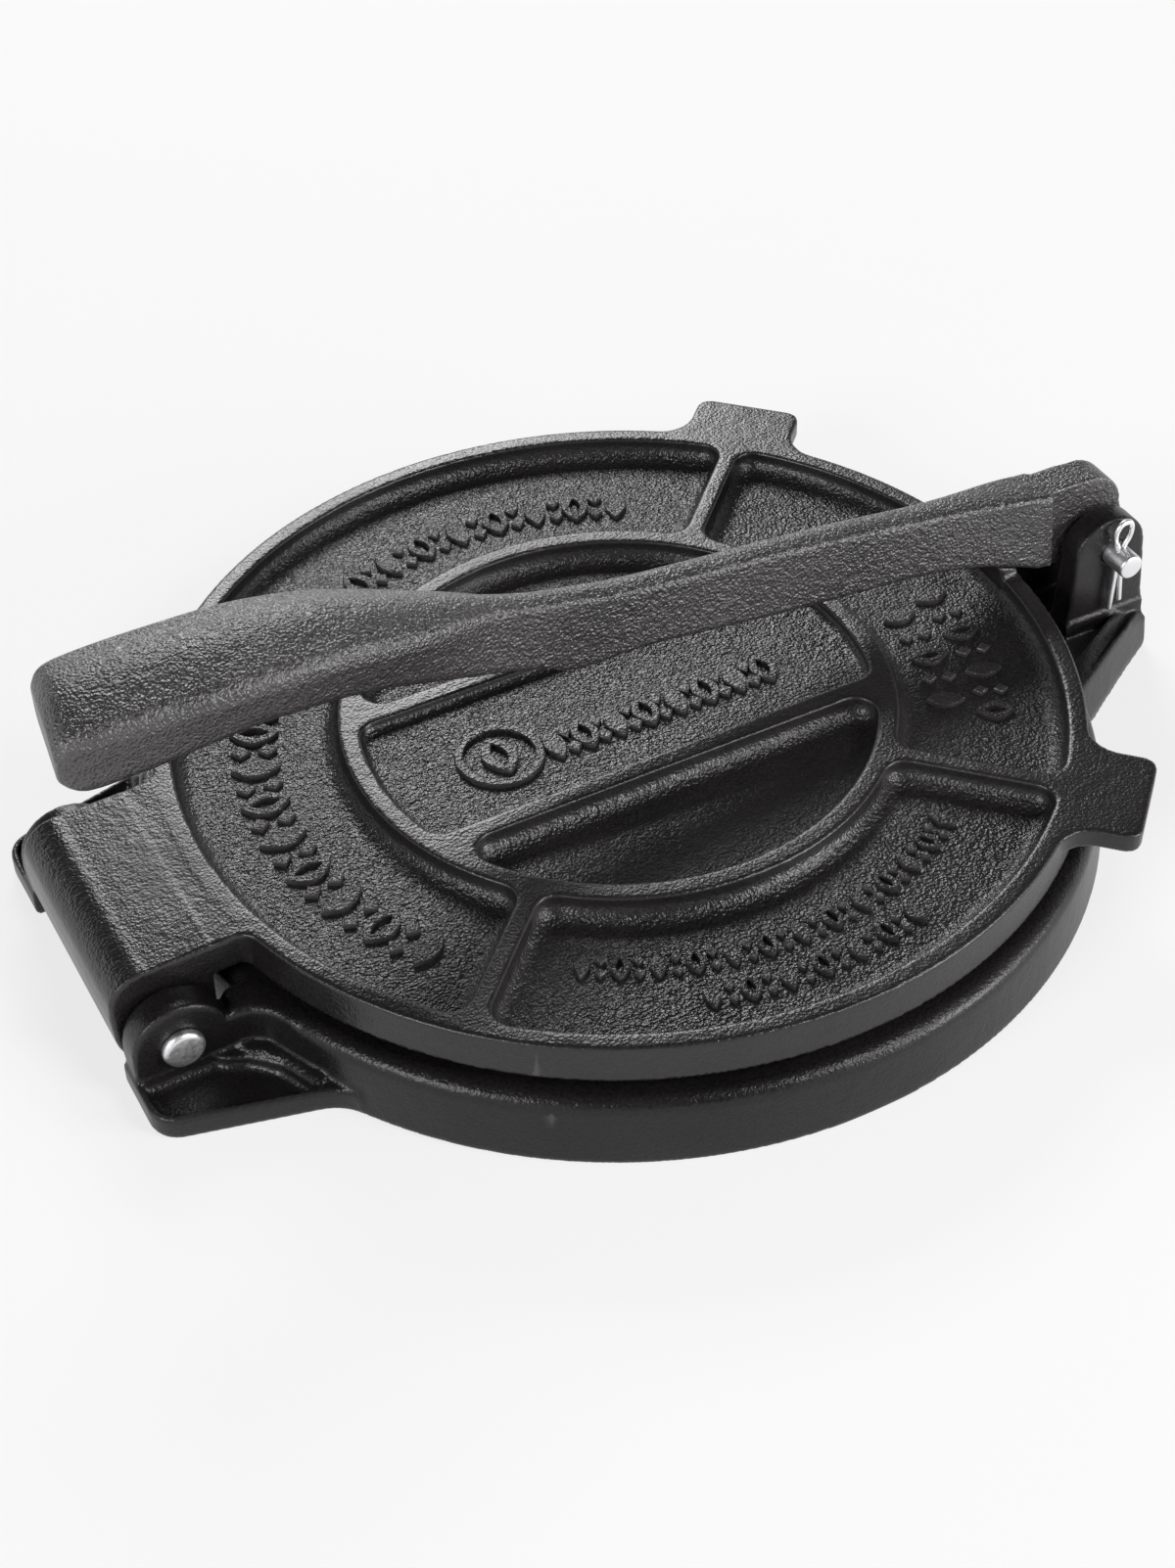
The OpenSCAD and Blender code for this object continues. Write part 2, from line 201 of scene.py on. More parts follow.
def recast(obj, skin, relax):
    take(obj)
    fine = skin
    step = obj.modifiers.new("skin", "REMESH")
    step.mode = "VOXEL"
    step.voxel_size = fine * MM
    bpy.ops.object.modifier_apply(modifier=step.name)
    step = obj.modifiers.new("relax", "SMOOTH")
    step.factor = 0.5
    step.iterations = max(1, round(relax * (skin / fine) ** 2))
    bpy.ops.object.modifier_apply(modifier=step.name)
    squares = len(obj.data.polygons)
    if 2 * squares > MOST_TRIANGLES:
        step = obj.modifiers.new("thin", "DECIMATE")
        step.ratio = MOST_TRIANGLES / (2 * squares)
        bpy.ops.object.modifier_apply(modifier=step.name)
    bpy.ops.object.shade_smooth()
    print(obj.name, "recast:", squares, "squares, kept", len(obj.data.polygons), "faces")
    return obj


# %% [markdown]
# The lid is a shallow disc with a raised rim, a raised ring and four spokes that stand level with each
# other, and hollows sunk between them to save iron. The sizes are those of the solid. Each hollow is
# made as a plug with a rounded lower edge, and the plug is cut out, so the hollow gets the round
# inside corner that a casting needs to leave its mould.

# %% Sizes of the lid and the outlines of its hollows
LID_LOW, LID_TOP = 20.0, 29.4
LID_R, LID_LOW_R = 107.5, 108.2
RIM_IN, RING_OUT, RING_IN = 103.0, 64.8, 60.0
SPOKE_HALF, RIB_OUT, RIB_IN = 2.2, 25.4, 20.6
POCKET_FLOOR, FIELD_FLOOR = 24.0, 26.8
CORNER = 5.0


def corner_reach(radius, offset):
    return math.sqrt(radius ** 2 - offset ** 2)


def sector_outline():
    """The hollow between rim, ring and two spokes, centred on +X."""
    off = SPOKE_HALF + CORNER
    far = corner_reach(RIM_IN - CORNER, off)
    near = corner_reach(RING_OUT + CORNER, off)
    far_turn = -math.degrees(math.atan2(off, far))
    near_turn = -math.degrees(math.atan2(off, near))
    upper = turned(arc(far, -off, CORNER, far_turn, 90, 8)
                   + arc(near, -off, CORNER, 90, 180 + near_turn, 8), 45)
    lower = [(x, -y) for x, y in reversed(upper)]
    far_end, near_end = 45 + far_turn, 45 + near_turn
    return (arc(0, 0, RIM_IN, -far_end, far_end, 40)[1:-1] + upper
            + arc(0, 0, RING_OUT, near_end, -near_end, 24)[1:-1] + lower)


def half_moon_outline():
    off = RIB_OUT + CORNER
    reach = corner_reach(RING_IN - CORNER, off)
    turn = math.degrees(math.atan2(off, reach))
    right = arc(reach, off, CORNER, -90, turn, 8)
    left = [(-x, y) for x, y in reversed(right)]
    return right + arc(0, 0, RING_IN, turn, 180 - turn, 30)[1:-1] + left


def field_outline():
    off = RIB_IN - CORNER
    reach = corner_reach(RING_IN - CORNER, off)
    turn = math.degrees(math.atan2(off, reach))
    corner = arc(reach, off, CORNER, turn, 90, 6)
    side = arc(0, 0, RING_IN, -turn, turn, 14)[1:-1]
    top = side + corner + [(-x, y) for x, y in reversed(corner)]
    return top + [(-x, -y) for x, y in side] + [(-x, -y) for x, y in corner] + [
        (x, -y) for x, y in reversed(corner)]


# %% The lid's disc and hollows
SIDE_FILLET, FIELD_FILLET = 4.6, 2.2

lid_disc = disc("lid_disc", 0, 0, LID_LOW, LID_TOP, LID_LOW_R, LID_R)
plugs = [(turned(sector_outline(), a), POCKET_FLOOR, SIDE_FILLET) for a in (0, 90, 180, 270)]
plugs += [(half_moon_outline(), POCKET_FLOOR, SIDE_FILLET),
          ([(x, -y) for x, y in half_moon_outline()], POCKET_FLOOR, SIDE_FILLET),
          (field_outline(), FIELD_FLOOR, FIELD_FILLET)]
for outline, floor_z, fillet in plugs:
    plug = traced("plug", outline, (floor_z, LID_TOP + 4))
    round_off(plug, fillet, at_height(floor_z), segments=8)
    combine(lid_disc, plug, "DIFFERENCE")
print("lid disc:", len(lid_disc.data.polygons), "faces after", len(plugs), "hollows")

# %% [markdown]
# Two finger tabs stand out of the rim to either side of the lever. Each is thinner than the rim and
# runs into it through a hollow corner, so its outline is traced with arcs that just touch both. The
# tongue at the other end is a thick flap. Its side view is traced instead, because that is where its
# shape is: flat on top, rolled over at the end and round about the pin. The lug is the small block
# near the rim that the lever presses on.

# %% The lid's tabs
TAB_END, TAB_HALF, TAB_CORNER, TAB_FILLET, TAB_T = 122.6, 13.5, 3.6, 8.5, 4.9
HINGE_X, HINGE_Z = -124.2, 12.6
TONGUE_HALF, KNUCKLE_R, TONGUE_BORE = 27.4, 11.8, 3.7
LEVER_X, LEVER_Z = 131.0, 31.0


def tab_outline():
    reach = corner_reach(LID_R + TAB_FILLET, TAB_HALF + TAB_FILLET)
    lean = math.degrees(math.atan2(TAB_HALF + TAB_FILLET, reach))
    upper = (arc(TAB_END - TAB_CORNER, TAB_HALF - TAB_CORNER, TAB_CORNER, 0, 90, 6)
             + arc(reach, TAB_HALF + TAB_FILLET, TAB_FILLET, 270, 180 + lean, 8)
             + arc(0, 0, RIM_IN + 1.2, lean, 2, 5))
    return upper + [(x, -y) for x, y in reversed(upper)]


tabs = [traced("tab", turned(tab_outline(), angle), (LID_TOP - TAB_T, LID_TOP))
        for angle in (45, -45)]
print(len(tabs), "finger tabs")


# %% The lid's tongue
def rim_fillet(half, r, side):
    """The hollow corner between the rim and a straight side that leaves it towards -X."""
    reach = corner_reach(LID_R + r, half + r)
    lean = math.degrees(math.atan2(half + r, reach))
    edge = [(-x, y) for x, y in arc(reach, half + r, r, 270, 180 + lean, 8)]
    return [(x, side * y) for x, y in edge + [(-LID_R + 6.3, half + 3.6), (-LID_R + 6.3, half - 2)]]


tongue_side = ([(-103.8, LID_TOP), (-112, LID_TOP - 0.2), (-126, LID_TOP - 0.8)]
               + arc(-127.7, 20.2, 8.5, 92, 172, 12)
               + [(-136.3, 17.5), (HINGE_X - KNUCKLE_R, HINGE_Z)]
               + arc(HINGE_X, HINGE_Z, KNUCKLE_R, 180, 345, 24)
               + [(-112.6, 20.6), (-103.8, 20.6)])
tongue = traced("tongue", tongue_side, (-TONGUE_HALF, TONGUE_HALF), "XZ")
for y in (-TONGUE_HALF, TONGUE_HALF):
    round_off(tongue, 0.7, lambda ends: at_side(y)(ends) and max(p.x for p in ends) < -104
              and min(p.z for p in ends) > 6, segments=3)
combine(tongue, bar_across("drill", HINGE_X, HINGE_Z, TONGUE_BORE, (-40, 40)), "DIFFERENCE")
fillets = [traced("fillet", rim_fillet(TONGUE_HALF - 0.4, 5, s), (LID_LOW + 0.6, LID_TOP))
           for s in (1, -1)]
print("tongue:", len(tongue.data.polygons), "faces")

# %% The lug under the lever
LEVER_SLOPE = -0.36


def under_lever(x):
    """Height of the lever's lower edge above the lug."""
    return LEVER_Z - 3.1 + (x - LEVER_X + 14) * LEVER_SLOPE


LUG = (101.8, 106.8)
LUG_HALF, LUG_GAP = 6.3, 0.5
lug = traced("lug", [(LUG[0], LID_TOP - 2), (LUG[1], LID_TOP - 2),
                     (LUG[1], under_lever(LUG[1]) - LUG_GAP),
                     (LUG[0], under_lever(LUG[0]) - LUG_GAP)], (-LUG_HALF, LUG_HALF), "XZ")

# %% The lid is recast
lid = gathered("press_lid", [lid_disc, tongue, lug] + tabs + fillets)
recast(lid, 0.55, 3)

# %% [markdown]
# The real lid carries raised words in its hollows. Here a plain band of ornament takes their place,
# in the same bands and at the same height: pointed leaves, whole and split, and pairs of lozenges.
# Each is a traced slab with a rounded upper edge. They are added after the recast, because raised work
# cut into the pattern with a chisel is the crispest thing on a casting.

# %% Motifs of the raised work
RELIEF, SUNK = 1.1, 0.8


def raised(outline, x, y, turn, floor_z, holed=None):
    """A slab on a hollow's floor, its outline turned and set out round (x, y)."""
    def placed(points):
        return [(x + a, y + b) for a, b in turned(points, turn)]
    obj = traced("motif", placed(outline), (floor_z - SUNK, floor_z + RELIEF))
    if holed:
        combine(obj, traced("slit", placed(holed), (floor_z - 2, floor_z + 3)), "DIFFERENCE")
    round_off(obj, 0.28, at_height(floor_z + RELIEF), segments=2)
    return obj


def pointed(half_tall, half_wide):
    """A leaf: two shallow arcs that meet in points, standing along X."""
    upper = [(half_tall * t / 5, half_wide * (1 - (t / 5) ** 2)) for t in range(5, -6, -1)]
    return upper + [(x, -y) for x, y in reversed(upper[1:-1])]


def leaf(x, y, tall, turn, floor_z):
    return [raised(pointed(0.5 * tall, 0.26 * tall), x, y, turn, floor_z)]


def split_leaf(x, y, tall, turn, floor_z):
    return [raised(pointed(0.5 * tall, 0.33 * tall), x, y, turn, floor_z,
                   pointed(0.3 * tall, 0.12 * tall))]


def lozenges(x, y, tall, turn, floor_z):
    h, w = 0.2 * tall, 0.17 * tall
    line = turned([(0.27 * tall, 0)], turn)[0]
    return [raised([(h, 0), (0, w), (-h, 0), (0, -w)], x + k * line[0], y + k * line[1], turn, floor_z)
            for k in (1, -1)]


MOTIFS = (leaf, lozenges, split_leaf, lozenges)


def arched_band(r, start, end, count, tall):
    """Motifs in turn along an arc round the lid's middle, standing towards the rim."""
    band = []
    for i in range(count):
        angle = start + (end - start) * i / (count - 1)
        x, y = turned([(r, 0)], angle)[0]
        band += MOTIFS[i % 4](x, y, tall, angle, POCKET_FLOOR)
    return band


# %% Bands in the hollows, a row in the middle field and a ringed leaf beside it
BANDS = ((84.5, 147, 213, 17, 11.5), (81, 121, 62, 17, 10.5), (80.3, -124, -55, 25, 6.8),
         (90.6, -106, -74, 13, 7), (76.5, -1, -25, 5, 9), (87.5, 1, -28, 7, 9))
ROW_START, ROW_STEP, ROW_Y, ROW_TALL = -19, 3.95, -4.6, 10
MARK_X, MARK_Y = -31.6, -1.8
MARK_RING, MARK_HOLE, MARK_LEAF = 10.4, 8.3, 13

relief = []
for band in BANDS:
    relief += arched_band(*band)
for i in range(15):
    relief += MOTIFS[i % 4](ROW_START + ROW_STEP * i, ROW_Y, ROW_TALL, 90, FIELD_FLOOR)
relief.append(raised(arc(0, 0, MARK_RING, 0, 350, 35), MARK_X, MARK_Y, 0, FIELD_FLOOR,
                     arc(0, 0, MARK_HOLE, 0, 345, 23)))
relief += split_leaf(MARK_X, MARK_Y, MARK_LEAF, 90, FIELD_FLOOR)
print(len(relief), "raised pieces")

# %% The lid takes the place of its solid
lid = gathered("press_lid", [lid] + relief)
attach(lid, "lid")
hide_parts("lid")

# %% [markdown]
# The base is a second disc, a little wider than the lid, with a round shoulder. It is cored out
# underneath, to save iron, and webs cross the hollow. The core is a disc with a rounded upper edge and
# slits where the webs are to be left, and it is cut out of the base in one go.

# %% The base's disc
BASE_R, BASE_TOP, SHOULDER = 113.5, 17.0, 3.2
BASE_SLOPE, FOOT_EDGE = 1.8, 1.0
TONGUE_SLOT, SLOT_X = 28.6, -111.2
HOLLOW_R, HOLLOW_TOP, WEB_HALF = 107.0, 12.5, 2.5

base_disc = disc("base_disc", 0, 0, 0, BASE_TOP, BASE_R, BASE_R - BASE_SLOPE)
round_off(base_disc, SHOULDER, at_height(BASE_TOP), segments=6)
round_off(base_disc, FOOT_EDGE, at_height(0), segments=3)
core = disc("core", 0, 0, -5, HOLLOW_TOP, HOLLOW_R, HOLLOW_R - 0.6)
combine(core, block("keep", (-140, SLOT_X + 5), (-60, 60), (-10, 30)), "DIFFERENCE")
for angle in (45, 135):
    combine(core, block("web", (-140, 140), (-WEB_HALF, WEB_HALF), (-10, 30), angle), "DIFFERENCE")
round_off(core, 3, at_height(HOLLOW_TOP), segments=4)
combine(base_disc, core, "DIFFERENCE")


def tongue_slot():
    """The gap between the hinge ears, which the tongue turns in."""
    return block("slot", (-160, SLOT_X), (-TONGUE_SLOT, TONGUE_SLOT), (-5, 40))


combine(base_disc, tongue_slot(), "DIFFERENCE")
print("base disc:", len(base_disc.data.polygons), "faces")

# %% [markdown]
# At the hinge end the base spreads into a low foot with two ears, which hold the pin to either side of
# the tongue. The foot's outline is one straight side that touches two arcs, so the centres of the arcs
# are worked out first. Its top is dished, and the plug that cuts the dish has a rounded lower edge, so
# the dish comes out as a bowl. A low shelf and a web lead from the bowl up to the disc and the ear.

# %% Outline of the hinge foot
FOOT_END, FOOT_T = -135.8, 6.4
FOOT_SIDE = ((-130.5, 49.6), (-104.0, 56.2))
FOOT_CORNER, FOOT_FILLET = 7.0, 12.0
EAR_IN, EAR_OUT, EAR_R = 28.6, 35.8, 10.9


def foot_outline(grow=0.0):
    """Half of the foot's outline, from its end to where it meets the disc, set out by grow."""
    (x0, y0), (x1, y1) = FOOT_SIDE
    length = math.hypot(x1 - x0, y1 - y0)
    ux, uy = (x1 - x0) / length, (y1 - y0) / length
    nx, ny = -uy, ux
    px, py = x0 + nx * grow, y0 + ny * grow
    side = math.degrees(math.atan2(ny, nx))
    r = FOOT_CORNER + grow
    cx = FOOT_END + FOOT_CORNER
    t = (cx - (px - nx * r)) / ux
    corner = arc(cx, py - ny * r + uy * t, r, 180, side, 8)
    r = FOOT_FILLET - grow
    qx, qy = px + nx * r, py + ny * r
    b = qx * ux + qy * uy
    c = qx * qx + qy * qy - (BASE_R + grow + r) ** 2
    t = -b - math.sqrt(b * b - c)
    cx, cy = qx + ux * t, qy + uy * t
    towards = math.degrees(math.atan2(-cy, -cx))
    return corner + arc(cx, cy, r, side + 180, 360 + towards, 10)


# %% The hinge foot
half = foot_outline()
inner = arc(0, 0, BASE_R - 4, 146.4, 165.5, 8) + [(FOOT_END, 20)]
BOWL_EDGE = [(-102.3, 55.2), (-103.8, 51.2), (-106.3, 45.8), (-109.5, 42.2), (-112.0, 40.0),
             (-116.0, 38.2), (-118.0, EAR_OUT + 0.5), (FOOT_END + 0.9, EAR_OUT + 0.5)]
SHELF_TOP, BOWL_DEPTH, BOWL_ROUND, BOWL_RIM = 7.6, 2.9, 2.6, 1.5
SHELF = ([(-113.0, EAR_OUT - 4), (-113.0, EAR_OUT + 0.8), (-111.4, 39.0), (-108.9, 41.2),
          (-105.6, 45.0), (-103.0, 50.8), (-101.4, 55.4)] + arc(0, 0, BASE_R - 6, 151.5, 163.5, 6))
WEB_TOP = BASE_TOP - 0.1
WEB = [(-112.8, EAR_OUT - 3), (-112.8, EAR_OUT + 0.3), (-109.0, EAR_OUT + 1.0),
       (-106.0, EAR_OUT + 3.0), (-104.0, EAR_OUT + 6.0), (-102.4, EAR_OUT + 9.5),
       (-98.5, EAR_OUT + 9.5), (-103.5, EAR_OUT - 3)]
foot_pieces = []
for s in (1, -1):
    foot = traced("hinge_foot", [(x, s * y) for x, y in half + inner], (0, FOOT_T))
    round_off(foot, FOOT_EDGE, at_height(0), segments=3)
    round_off(foot, 0.7, at_height(FOOT_T), segments=2)
    combine(foot, tongue_slot(), "DIFFERENCE")
    bowl_line = [(x, y) for x, y in foot_outline(-BOWL_RIM)
                 if y > EAR_OUT + 1.5 and x < -103.2] + BOWL_EDGE
    bowl = traced("bowl", [(x, s * y) for x, y in bowl_line], (FOOT_T - BOWL_DEPTH, FOOT_T + 6))
    round_off(bowl, BOWL_ROUND, at_height(FOOT_T - BOWL_DEPTH), segments=6)
    combine(foot, bowl, "DIFFERENCE")
    shelf = traced("shelf", [(x, s * y) for x, y in SHELF], (2, SHELF_TOP))
    round_off(shelf, 1.2, at_height(SHELF_TOP), segments=4)
    web = traced("web", [(x, s * y) for x, y in WEB], (0, WEB_TOP))
    round_off(web, 2.4, at_height(WEB_TOP), segments=5)
    foot_pieces += [foot, shelf, web]
print("hinge foot:", len(foot_pieces), "pieces")

# %% The hinge ears
EAR_BORE = 3.4
ear_side = ([(-135.5, 0), (-135.3, 9)] + arc(HINGE_X, HINGE_Z, EAR_R, 175, 10, 24)
            + [(-113.4, 13.6), (-112.6, 14.0)] + arc(-109.9, 14.4, 2.6, 170, 90, 5)
            + [(-104.2, 17.0), (-104.2, 0)])
for s in (1, -1):
    ear = traced("hinge_ear", ear_side, (s * EAR_IN, s * EAR_OUT), "XZ")
    for face, soft in ((s * EAR_OUT, 1.6), (s * EAR_IN, 1.0)):
        round_off(ear, soft, lambda ends: at_side(face)(ends) and min(p.z for p in ends) > 8
                  and max(p.x for p in ends) < -100, segments=4)
    combine(ear, bar_across("drill", HINGE_X, HINGE_Z, EAR_BORE, (-60, 60)), "DIFFERENCE")
    foot_pieces.append(ear)

# %% [markdown]
# At the lever end a taller foot carries two upright ears, and the lever's hub turns between them. The
# foot is a low floor with a rounded rim along each side. Each rim falls towards the outer end, so its
# upper points are lowered there by a small table before its edges are rounded. A ledge under each ear
# stands in for the fillet that ties it to the floor.

# %% The lever foot
LEVER_FOOT_TOP, LEVER_FOOT_FLOOR = 13.6, 8.8
FLOOR_DRAFT, RIM_DRAFT = 0.94, 0.93
RIM_FALL = ((142.0, 5.0), (136.5, 2.4), (131.5, 1.0), (128.2, 0.6))
CLEVIS_IN, CLEVIS_OUT = 5.8, 12.5
CLEVIS_X, CLEVIS_Z, CLEVIS_R = 129.8, 31.0, 10.2
FOOT_HALF = [(142.0, 16.0), (131.5, 22.3), (121.5, 28.7), (110.4, 35.8), (104, 40)]
outline = (FOOT_HALF + arc(0, 0, BASE_R - 4, 20, -20, 10) + [(x, -y) for x, y in reversed(FOOT_HALF)])
RIM_LINE = FOOT_HALF + [(98, 34.6), (107.0, 30.2), (118.2, 23.4), (128.2, 17.0), (136.5, 11.5),
                        (142, 11.5)]


def drafted(obj, above, share):
    """Narrows the part above a height, as a pattern must be to leave the sand."""
    pick(obj, "VERT", lambda p: p.z > above)
    bpy.ops.transform.resize(value=(1, share, 1), center_override=(0, 0, 0))
    bpy.ops.object.mode_set(mode="OBJECT")
    return obj


lever_foot = drafted(traced("lever_foot", outline, (0, LEVER_FOOT_FLOOR)), 1, FLOOR_DRAFT)
rims = []
for s in (1, -1):
    rim = traced("foot_rim", [(x, s * y) for x, y in RIM_LINE], (2, LEVER_FOOT_TOP))
    drafted(rim, 3, RIM_DRAFT)
    for x, lower in RIM_FALL:
        pick(rim, "VERT", lambda p: p.z > 3 and abs(p.x - x) < 0.1)
        bpy.ops.transform.translate(value=(0, 0, -lower * MM))
        bpy.ops.object.mode_set(mode="OBJECT")
    round_off(rim, 2.4, lambda ends: min(p.z for p in ends) > 8 and min(p.x for p in ends) > 103,
              segments=5)
    rims.append(rim)
round_off(lever_foot, FOOT_EDGE, lambda ends: at_height(0)(ends) and min(p.x for p in ends) > 105,
          segments=3)
print("lever foot:", 1 + len(rims), "pieces")

# %% The lever ears
clevis_side = ([(119.0, 8), (119.5, 22), (CLEVIS_X - CLEVIS_R, CLEVIS_Z)]
               + arc(CLEVIS_X, CLEVIS_Z, CLEVIS_R, 180, 8, 24)[1:] + [(141.0, 22.4), (142.4, 8)])
ears = []
for s in (1, -1):
    ear = traced("lever_ear", clevis_side, (s * CLEVIS_IN, s * CLEVIS_OUT), "XZ")
    for face, soft in ((s * CLEVIS_OUT, 0.8), (s * CLEVIS_IN, 1.2)):
        round_off(ear, soft, lambda ends: at_side(face)(ends) and min(p.z for p in ends) > 8.5,
                  segments=4)
    combine(ear, bar_across("drill", LEVER_X, LEVER_Z, EAR_BORE, (-30, 30)), "DIFFERENCE")
    ears += [ear, block("ledge", (118.6, 141.8), sorted((s * CLEVIS_IN, s * 13.2)),
                        (6, LEVER_FOOT_TOP - 0.6))]

# %% The base is recast
base = gathered("press_base", [base_disc, lever_foot] + rims + foot_pieces + ears)
recast(base, 0.6, 4)
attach(base, "base")
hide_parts("base")

# %% [markdown]
# The lever is one casting from the hub to the grip. Its bar is a plain strip that deepens towards the
# hub, then bends, rises and swells into a hand-sized grip with flat shoulders and a low crown. Such a
# shape changes all along its length, so it is lofted: one cross-section is drawn, pulled along the
# lever in short steps and reshaped at every step from a table of measured heights and widths.

# %% A loft through many cross-sections
def between(table, x):
    """Reads a smooth curve through (x, value) pairs, which are sorted by x."""
    if x <= table[0][0]:
        return table[0][1]
    if x >= table[-1][0]:
        return table[-1][1]
    k = max(i for i in range(len(table) - 1) if table[i][0] <= x)
    (x0, v0), (x1, v1) = table[k], table[k + 1]

    def slope(i):
        if i in (0, len(table) - 1):
            return 0.0 if i else (table[1][1] - table[0][1]) / (table[1][0] - table[0][0])
        before = (table[i][1] - table[i - 1][1]) / (table[i][0] - table[i - 1][0])
        after = (table[i + 1][1] - table[i][1]) / (table[i + 1][0] - table[i][0])
        return 0.0 if before * after <= 0 else 2 * before * after / (before + after)

    span = x1 - x0
    t = (x - x0) / span
    m0, m1 = slope(k) * span, slope(k + 1) * span
    return ((2 * t ** 3 - 3 * t ** 2 + 1) * v0 + (t ** 3 - 2 * t ** 2 + t) * m0
            + (3 * t ** 2 - 2 * t ** 3) * v1 + (t ** 3 - t ** 2) * m1)


def lofted(name, rings):
    """Pulls a filled ring through the others, each a list of (x, y, z) in millimetres."""
    fresh_start()
    bpy.ops.mesh.primitive_circle_add(vertices=len(rings[0]), radius=1, fill_type="NGON")
    obj = settled(name)
    for v, p in zip(obj.data.vertices, rings[0]):
        v.co = Vector(p) * MM
    order = list(range(len(rings[0])))
    bpy.ops.object.mode_set(mode="EDIT")
    bpy.ops.mesh.select_all(action="SELECT")
    bpy.ops.object.mode_set(mode="OBJECT")
    for last, ring in zip(rings, rings[1:]):
        known = len(obj.data.vertices)
        bpy.ops.object.mode_set(mode="EDIT")
        bpy.ops.mesh.extrude_region_move(TRANSFORM_OT_translate={"value": (0, 0, 0)})
        bpy.ops.object.mode_set(mode="OBJECT")
        fresh = [v for v in obj.data.vertices if v.select]
        assert len(fresh) == len(ring) and len(obj.data.vertices) == known + len(ring)
        for v in fresh:
            near = min(range(len(last)), key=lambda i: (Vector(last[i]) * MM - v.co).length)
            v.co = Vector(ring[near]) * MM
    bpy.ops.object.mode_set(mode="EDIT")
    bpy.ops.mesh.select_all(action="SELECT")
    bpy.ops.mesh.normals_make_consistent(inside=False)
    bpy.ops.object.mode_set(mode="OBJECT")
    return obj


# %% The lever's measured heights and widths
UNDERSIDE = [(-133.5, 71.5), (-132, 69.6), (-130, 68.4), (-127, 67.9), (-120, 68.4), (-110, 69.1),
             (-100, 70.1), (-90, 70.7), (-80, 69.8), (-70, 68), (-60, 65.1), (-50, 61.2), (-40, 57.2),
             (-30, 53.6), (-21, 50.6), (-15.5, 47.8), (-9, 46.7), (0, 46.8), (30, 43.4), (56, 40.4),
             (78, 38.3), (95, 35), (103, 32.5), (115.6, 28)]
TOP_EDGE = [(-133.5, 80.8), (-132, 82.6), (-130, 83.9), (-126, 84.7), (-115, 85), (-100, 84.8),
            (-90, 84.5), (-80, 83.6), (-70, 82.3), (-60, 79.9), (-50, 76.8), (-40, 73.9), (-30, 70.5),
            (-20, 67.4), (-10, 65.3), (0, 63.3), (20, 61), (40, 59), (60, 56.7), (80, 53.8),
            (90, 52.6), (100, 51.4), (108, 50.3), (115.6, 49)]
CROWN = [(-133.5, 1), (-128, 1.6), (-110, 1.9), (-80, 2.0), (-60, 1.4), (-40, 0.6), (-20, 0.3),
         (115.6, 0.3)]
TOP_HALF = [(-133.5, 12), (-131, 13.2), (-127, 14), (-120, 14.5), (-110, 14.9), (-95, 15), (-85, 14.8),
            (-70, 13.1), (-60, 11.6), (-50, 9.5), (-40, 6.7), (-30, 4.1), (-20, 3.5), (-10, 3.4),
            (40, 3.6), (80, 3.8), (90, 4.2), (100, 5.1), (108, 5.7), (115.6, 6.1)]
LOW_HALF = [(-133.5, 11.6), (-127, 13.6), (-110, 14.4), (-95, 14.5), (-85, 14.2), (-70, 12.5),
            (-60, 11), (-50, 9.2), (-40, 7.2), (-30, 5.8), (-20, 5.2), (80, 5.4), (100, 6.2),
            (115.6, 7)]
TOP_ROUND = [(-133.5, 3.4), (-128, 4.4), (-100, 4.8), (-60, 4.8), (-50, 4.2), (-40, 3), (-30, 2.0),
             (-20, 1.5), (90, 1.4), (115.6, 1.0)]
LOW_ROUND = [(-133.5, 2.4), (-60, 2.2), (-20, 1.2), (115.6, 1.0)]
END_SLANT, END_X = 0.14, -133.5


# %% The lever's bar and grip
def lever_ring(x):
    low, high, crown = between(UNDERSIDE, x), between(TOP_EDGE, x), between(CROWN, x)
    b, t = between(LOW_HALF, x), between(TOP_HALF, x)
    e, f = between(TOP_ROUND, x), between(LOW_ROUND, x)
    side = [(b - f, low), (b - 0.3 * f, low + 0.3 * f), (b, low + f), (t, high - e),
            (t - 0.11 * e, high - 0.55 * e), (t - 0.3 * e, high - 0.3 * e),
            (t - 0.55 * e, high - 0.11 * e), (t - e, high), (0.6 * (t - e), high + 0.6 * crown),
            (0.3 * (t - e), high + 0.9 * crown)]
    ring = ([(0, low)] + side + [(0, high + crown)] + [(-y, z) for y, z in reversed(side)])
    slant = END_SLANT * max(0.0, 1 - (x - END_X) / 14) ** 2
    lean = 0.06 * max(0.0, (x - 100) / 15.6)
    return [(x + slant * (y + t) + lean * (high - z), y, z) for y, z in ring]


stations = ([-133.5, -132.6, -131.5, -130, -128] + [-125 + 3 * i for i in range(44)]
            + [10 + 8 * i for i in range(11)] + [96, 100, 104, 108, 112, 115.6])
handle = lofted("handle", [lever_ring(x) for x in stations])
print("handle:", len(stations), "cross-sections")

# %% [markdown]
# The hub is a thin plate with a round nose, which turns between the ears. Its side view is traced, as
# all of its shape lies there, and it is drilled for the pin and melted into the bar by the recast.

